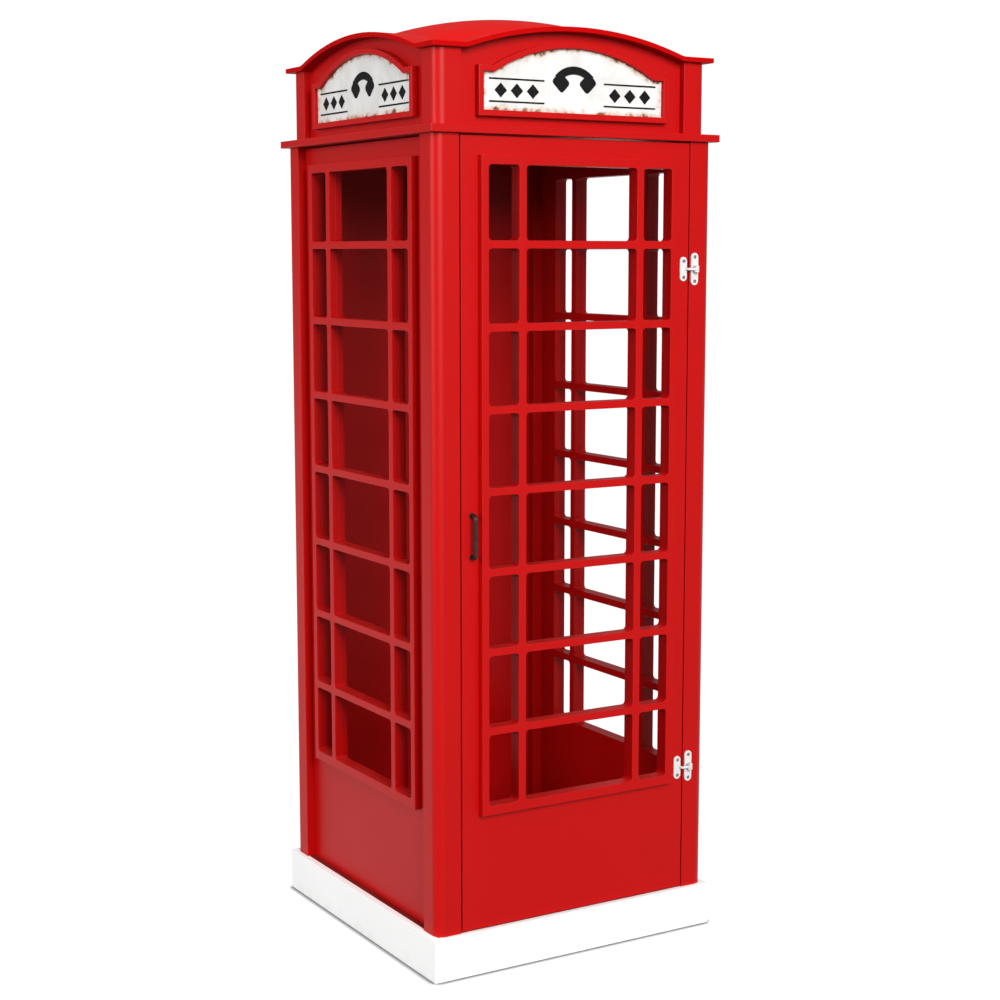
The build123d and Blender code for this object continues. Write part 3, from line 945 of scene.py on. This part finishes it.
def sign_marks():
    """Every block of the emblem, for both sides of the handset."""
    blocks = []
    for side in (-1, 1):
        angle = side * GRIP_TURN / 2
        x, z = GRIP_CENTRE.x + CUP_REACH * sin(angle), GRIP_CENTRE.z + CUP_REACH * cos(angle)
        blocks.append(mark_block("cup", x, z, CUP_WIDTH, CUP_HEIGHT, angle, 8 * MM,
                                 1.5 * MARK_THICK))
        for edge in (-1, 1):
            blocks.append(mark_block("rule", side * BAND_MIDDLE, MARK_MIDDLE + edge * BAND_HALF,
                                     BAND_LENGTH, 4 * MM, 0, 1.8 * MM))
        for step in (-1, 0, 1):
            x = side * BAND_MIDDLE + step * LOZENGE_GAP
            blocks.append(mark_block("lozenge", x, MARK_MIDDLE, LOZENGE, LOZENGE, radians(45),
                                     1 * MM))
    return blocks


emblem = join_pieces([grip] + sign_marks(), "emblem_front")
smooth(emblem)
for side, mark in on_all_sides(emblem, "emblem"):
    fit(mark, "booth", "sign_white", finish=sign_black)

# %% [markdown]
# ## The roof
#
# The roof is one sheet whose front arch is carried along the side arch, so it
# domes in the middle and runs out flat at its lips. A square sheet is cut both
# ways at the arch's stations. Each line across is lifted by the arch, and then
# each line the other way, which adds the two arches together.

# %% Dome the roof
def roof_sheet():
    """The roof, from a flat square to a domed sheet with its thickness."""
    low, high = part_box("roof_shell")
    thickness = (high.z - ROOF_LIP) - 2 * ROOF_RISE
    clear_bench()
    bpy.ops.mesh.primitive_plane_add(size=1, location=(0, 0, ROOF_LIP))
    roof = bpy.context.object
    roof.scale = (high.x - low.x, high.y - low.y, 1)
    open_up(set_down(roof, "roof"))
    for axis in (0, 1):
        cut_across(axis, STATIONS + [-ARCH_FOOT, ARCH_FOOT])
    for axis in (0, 1):
        lift_lines(roof, axis, STATIONS, arch_height)
    thicken(0, 0, thickness)
    ease_all(roof, 1.5 * MM, 3)
    smooth(roof)
    print(f"roof {thickness / MM:.1f} mm thick")
    return roof


roof = roof_sheet()
fit(roof, "booth", "roof_red", "roof_shell")

# %% [markdown]
# ## The handle
#
# The handle is one round bar, bent back to the door at both ends. A circle is
# pushed out from the door, spun round each bend, and pushed straight between
# them, so the bar is one clean tube. A small flange sits at each foot.

# %% Bend the handle
BAR_RADIUS, BEND_RADIUS = 5 * MM, 9 * MM
FLANGE_RADIUS, FLANGE_THICK = 7 * MM, 2.5 * MM
handle_low, handle_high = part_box("door_handle")
HANDLE_X = (handle_low.x + handle_high.x) / 2
FOOT_TOP, FOOT_BOTTOM = handle_high.z - FLANGE_RADIUS, handle_low.z + FLANGE_RADIUS
STRAIGHT_OUT = handle_high.y - handle_low.y - BAR_RADIUS - BEND_RADIUS


def bend(z):
    """Spins the selected ring a quarter turn, round a centre at height z."""
    bpy.ops.mesh.spin(steps=8, angle=-pi / 2, center=(HANDLE_X, handle_high.y - STRAIGHT_OUT, z),
                      axis=(1, 0, 0))


def bend_handle():
    """The bar, from its upper foot round to its lower foot."""
    clear_bench()
    bpy.ops.mesh.primitive_circle_add(vertices=24, radius=BAR_RADIUS, fill_type="NGON",
                                      rotation=(pi / 2, 0, 0),
                                      location=(HANDLE_X, handle_high.y, FOOT_TOP))
    bar = set_down(bpy.context.object, "handle_bar")
    open_up(bar)
    bpy.ops.mesh.select_all(action="SELECT")
    push(0, -STRAIGHT_OUT, 0)
    bend(FOOT_TOP - BEND_RADIUS)
    push(0, 0, -(FOOT_TOP - FOOT_BOTTOM - 2 * BEND_RADIUS))
    bend(FOOT_BOTTOM + BEND_RADIUS)
    push(0, STRAIGHT_OUT, 0)
    bpy.ops.mesh.select_all(action="SELECT")
    bpy.ops.mesh.remove_doubles(threshold=0.001 * MM)
    bpy.ops.mesh.normals_make_consistent(inside=False)
    close_up()
    return bar


def turned_disc(name, radius, thickness, face, x, z, rim, sides=32):
    """A disc on a face that looks to the front, with its outer rim rounded."""
    clear_bench()
    bpy.ops.mesh.primitive_cylinder_add(vertices=sides, radius=radius, depth=thickness,
                                        rotation=(pi / 2, 0, 0),
                                        location=(x, face - thickness / 2, z))
    disc = set_down(bpy.context.object, name)
    round_rim(disc, face - thickness, rim, 4)
    return disc


bar = bend_handle()
flanges = [turned_disc("flange", FLANGE_RADIUS, FLANGE_THICK, handle_high.y, HANDLE_X, z,
                       1.2 * MM) for z in (FOOT_BOTTOM, FOOT_TOP)]
handle = join_pieces([bar] + flanges, "handle")
smooth(handle, 50)
fit(handle, "door", "handle_bronze", "door_handle")

# %% [markdown]
# ## Screws
#
# Every screw head is a low dome with a cross-shaped recess. One is made: the
# flat cap of a disc is cut both ways by four planes, and the cross between
# the cuts is pushed in. The rest are copies with their own meshes.

# %% Make one screw head and set out the copies
def screw_head(name, radius, thickness, face, x, z, slot_half, slot_reach, depth):
    """A domed head with a cross recess, on a face that looks to the front."""
    head = turned_disc(name, radius, thickness, face, x, z, thickness * 0.62, 24)
    front = face - thickness
    open_up(head)
    for normal, middle in (((1, 0, 0), x), ((0, 0, 1), z)):
        for offset in (-slot_reach, -slot_half, slot_half, slot_reach):
            pick(head, "faces", lambda f: lies_at(f, 1, front))
            bpy.ops.mesh.bisect(plane_co=[(middle + offset) * n for n in normal], plane_no=normal)

    def in_cross(facet):
        spot = facet.calc_center_median()
        near_arm, far_arm = sorted((abs(spot.x - x), abs(spot.z - z)))
        return near(spot.y, front) and near_arm < slot_half and far_arm < slot_reach

    pick(head, "faces", in_cross)
    push(0, depth, 0)
    close_up()
    return head


def screw_set(name, radius, thickness, face, places):
    """All the heads of one set of screws, in one piece."""
    first = screw_head(name, radius, thickness, face, *places[0], slot_half=radius * 0.13,
                       slot_reach=radius * 0.55, depth=thickness * 0.4)
    heads = [first]
    for x, z in places[1:]:
        head = copy_piece(first, name)
        take_up(head)
        head.location = (x - places[0][0], 0, z - places[0][1])
        bpy.ops.object.transform_apply(location=True)
        heads.append(head)
    heads = join_pieces(heads, name)
    smooth(heads, 45)
    return heads


# %% [markdown]
# ## Hinges
#
# Two hinges carry the door. Each has a round-ended leaf on the door, with an
# arm that reaches across the gap, and a longer leaf on the post, whose two
# ears hold the pin above and below the arm. A leaf is a block with its four
# corners rounded almost to a half circle.

# %% Make the leaves, ears and pins of both hinges
LEAF_THICK, LEAF_WIDTH = 3 * MM, 21 * MM
ARM_START, ARM_ROOT = 2 * MM, 6 * MM      # where the arm begins past the leaf, and its root's reach
SUNK = 1 * MM                             # how far arms and ears are let into their leaves
PIN_RADIUS, PIN_HEAD, PIN_CAP = 2.5 * MM, 4 * MM, 1.6 * MM
EYE_RADIUS, ARM_HEIGHT, ARM_THICK = 6.5 * MM, 6 * MM, 5 * MM
EAR_RADIUS, EAR_HEIGHT, EAR_GAP = 6.5 * MM, 4.6 * MM, 0.4 * MM


def leaf_plate(name, low, high):
    """A round-ended plate with a softened front rim."""
    plate = saw_block(name, low, high)
    half = (high.x - low.x) / 2
    round_edges(plate, runs_deep, half * 0.99, 9)
    round_rim(plate, low.y, 1.1 * MM, 3)
    return plate


def barrel(name, x, y, z, radius, height, rim):
    """An upright round boss with softened rims."""
    clear_bench()
    bpy.ops.mesh.primitive_cylinder_add(vertices=32, radius=radius, depth=height,
                                        location=(x, y, z))
    boss = set_down(bpy.context.object, name)
    round_edges(boss, is_square_edge, rim, 3)
    return boss


def pin_box(where):
    """The box of a hinge's pin, and the x and y of the line it turns on."""
    low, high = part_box(f"{where}_hinge_pin")
    return low, high, (low.x + high.x) / 2, (low.y + high.y) / 2


def door_leaf(where):
    """The leaf, arm and eye that swing with the door."""
    low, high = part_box(f"{where}_hinge_door_leaf")
    pin_x, pin_y = pin_box(where)[2:]
    z = (low.z + high.z) / 2
    plate = leaf_plate("leaf", Vector((low.x, high.y - LEAF_THICK, low.z)),
                       Vector((low.x + LEAF_WIDTH, high.y, high.z)))
    front, back = pin_y - ARM_THICK / 2, pin_y + ARM_THICK / 2
    root = low.x + LEAF_WIDTH + ARM_START
    arm = saw_block("arm", (root, front, z - ARM_HEIGHT / 2), (pin_x, back, z + ARM_HEIGHT / 2))
    open_up(arm)
    pick(arm, "faces", lambda f: near(f.calc_center_median().x, root))
    push(-ARM_ROOT, high.y - LEAF_THICK - back + SUNK, 0)
    close_up()
    round_edges(arm, is_square_edge, 0.9 * MM, 2)
    eye = barrel("eye", pin_x, pin_y, z, EYE_RADIUS, ARM_HEIGHT, 0.8 * MM)
    return join_pieces([plate, arm, eye], f"{where}_door_leaf")


def post_leaf(where):
    """The leaf and the two ears that stay on the post."""
    low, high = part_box(f"{where}_hinge_post_leaf")
    pin_x, pin_y = pin_box(where)[2:]
    z = (low.z + high.z) / 2
    pieces = [leaf_plate("leaf", Vector((low.x, high.y - LEAF_THICK, low.z)), high)]
    for side in (-1, 1):
        middle = z + side * (ARM_HEIGHT / 2 + EAR_GAP + EAR_HEIGHT / 2)
        ear = saw_block("ear", (pin_x - EAR_RADIUS, pin_y - EAR_RADIUS, middle - EAR_HEIGHT / 2),
                        (pin_x + EAR_RADIUS, high.y - LEAF_THICK + SUNK, middle + EAR_HEIGHT / 2))
        round_edges(ear, lambda e: lies_at(e, 1, pin_y - EAR_RADIUS)
                    and near(e.verts[0].co.x, e.verts[1].co.x), EAR_RADIUS * 0.98, 8)
        round_edges(ear, is_square_edge, 0.7 * MM, 2)
        pieces.append(ear)
    return join_pieces(pieces, f"{where}_post_leaf")


def hinge_pin(where):
    """The pin, with its domed head on top."""
    low, high, x, y = pin_box(where)
    shank = barrel("shank", x, y, (low.z + high.z - PIN_CAP) / 2, PIN_RADIUS,
                   high.z - low.z - PIN_CAP, 0.4 * MM)
    cap = barrel("cap", x, y, high.z - PIN_CAP / 2, PIN_HEAD, PIN_CAP, 0.6 * MM)
    return join_pieces([shank, cap], f"{where}_pin")


for where in ("upper", "lower"):
    for make, body, part in ((door_leaf, "door", "hinge_door_leaf"),
                             (post_leaf, "booth", "hinge_post_leaf"),
                             (hinge_pin, "booth", "hinge_pin")):
        piece = make(where)
        smooth(piece, 45)
        fit(piece, body, "bare_steel" if make is hinge_pin else "hinge_white", f"{where}_{part}",
            finish=hinge_white if make is hinge_pin else None)

# %% Drive the screws
def screw_places(part, spacing):
    """Where a set of hinge screws stands, from the plain screws' box and the hinges."""
    low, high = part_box(part)
    x = (low.x + high.x) / 2
    places = []
    for where in ("upper", "lower"):
        leaf_low, leaf_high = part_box(f"{where}_hinge_post_leaf")
        middle = (leaf_low.z + leaf_high.z) / 2
        places += [(x, middle - spacing / 2), (x, middle + spacing / 2)]
    return places


HINGE_HEAD, HINGE_HEAD_THICK = 4.3 * MM, 1.7 * MM
leaf_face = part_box("door_panel")[0].y - LEAF_THICK
for part, body, spacing in (("door_leaf_screws", "door", 40 * MM),
                            ("post_leaf_screws", "booth", 60 * MM)):
    heads = screw_set(part.replace("leaf_screws", "screw_heads"), HINGE_HEAD, HINGE_HEAD_THICK,
                      leaf_face, screw_places(part, spacing))
    fit(heads, body, "bare_steel", part)

inner_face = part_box("door_panel")[1].y
HANDLE_HEAD, HANDLE_HEAD_THICK = 4 * MM, 2.4 * MM
inside = screw_set("handle_screw_heads", HANDLE_HEAD, HANDLE_HEAD_THICK, -inner_face,
                   [(-HANDLE_X, FOOT_TOP), (-HANDLE_X, FOOT_BOTTOM)])
turn_piece(inside, 180)
fit(inside, "door", "bare_steel", "door_handle_screws")

# %% [markdown]
# ## Floor, light and camera
#
# The booth stands on a plain pale floor in soft daylight: a wide soft light
# from the front, another at the left that puts a sheen on that wall, and a
# pale sky that glows more overhead. The camera stands to the front left, a
# little above head height, and looks slightly down.

# %% Lay the studio floor
FLOOR_SIZE, CONTACT_REACH = 60, 25 * MM
GREY, LIGHTER_GREY, WHITE = (0.05, 0.05, 0.05), (0.06, 0.06, 0.06), (1.0, 1.0, 1.0)
clear_bench()
bpy.ops.mesh.primitive_plane_add(size=FLOOR_SIZE, location=(0, 0, 0))
studio_floor = bpy.context.object
studio_floor.name = "studio_floor"
floor_white, floor_shader, floor_coords = start_finish("studio_floor")
shades = spread(floor_white, speckle(floor_white, floor_coords, 0.8), 0.3, 0.7)
link = floor_white.node_tree.links.new
link(blend_colours(floor_white, shades, GREY, LIGHTER_GREY), floor_shader.inputs["Base Color"])
floor_shader.inputs["Roughness"].default_value = 0.9
floor_shader.inputs["Specular IOR Level"].default_value = 0.0
# Painted contact shadow: the floor's glow is greyed where the AO node finds the plinth close by.
painted_shadow_ao = add_node(floor_white, "ShaderNodeAmbientOcclusion", {"Distance": CONTACT_REACH}, samples=8)
line = spread(floor_white, painted_shadow_ao.outputs["AO"], 0.56, 0.88)
link(blend_colours(floor_white, line, GREY, WHITE), floor_shader.inputs["Emission Color"])
floor_shader.inputs["Emission Strength"].default_value = 1.0
studio_floor.data.materials.append(floor_white)
studio_floor.visible_diffuse = False

# %% Hang the lights
def aim(thing, place, target):
    """Puts a light or camera at a place, looking at a target."""
    thing.location = place
    thing.rotation_euler = (Vector(target) - Vector(place)).to_track_quat("-Z", "Y").to_euler()


BOOTH_MIDDLE = (0, 0, 1.15)


def hang_light(name, energy, place, size):
    """A square soft box that looks at the booth."""
    data = bpy.data.lights.new(name, "AREA")
    data.energy = energy
    data.shape = "SQUARE"
    data.size = size
    light = bpy.data.objects.new(name, data)
    bpy.context.collection.objects.link(light)
    aim(light, place, BOOTH_MIDDLE)


hang_light("front_light", energy=1130, place=(-1.3, -8.1, 4.7), size=4.6)
hang_light("left_light", energy=300, place=(-6.2, 0.1, 2.9), size=3.2)

sky = bpy.data.worlds.new("studio_sky")
sky.use_nodes = True


def sky_node(kind, wires=(), **settings):
    """Adds a node to the sky, as add_node does to a finish."""
    return add_node(sky, kind, wires, **settings)


DIM, BRIGHT, SEEN_WHITE = 0.14, 0.44, 1.05      # the sky's glow low down, overhead and as seen
heading = sky_node("ShaderNodeTexCoord").outputs["Generated"]
height = sky_node("ShaderNodeSeparateXYZ", {0: heading}).outputs["Z"]
glow = spread(sky, height, -0.25, 0.35, DIM, BRIGHT)
seen = sky_node("ShaderNodeLightPath").outputs["Is Camera Ray"]
level = sky_node("ShaderNodeMix", {0: seen, 2: glow, 3: SEEN_WHITE}, data_type="FLOAT").outputs[0]
background = sky.node_tree.nodes["Background"]
background.inputs["Color"].default_value = (1, 1, 1, 1)
sky.node_tree.links.new(level, background.inputs["Strength"])
bpy.context.scene.world = sky
bpy.context.scene.view_settings.view_transform = "Standard"

# %% Stand the camera
CAMERA_PLACE = Vector((-2.4731, -4.1333, 1.7300))
CAMERA_TURN, CAMERA_DIP = radians(31.081), radians(7.512)
LENS, SENSOR = 66.93, 36
lens = bpy.data.cameras.new("camera")
lens.lens, lens.sensor_width = LENS, SENSOR
camera = bpy.data.objects.new("camera", lens)
bpy.context.collection.objects.link(camera)
looking = Vector((sin(CAMERA_TURN) * cos(CAMERA_DIP), cos(CAMERA_TURN) * cos(CAMERA_DIP),
                  -sin(CAMERA_DIP)))
aim(camera, CAMERA_PLACE, CAMERA_PLACE + looking)
bpy.context.scene.camera = camera
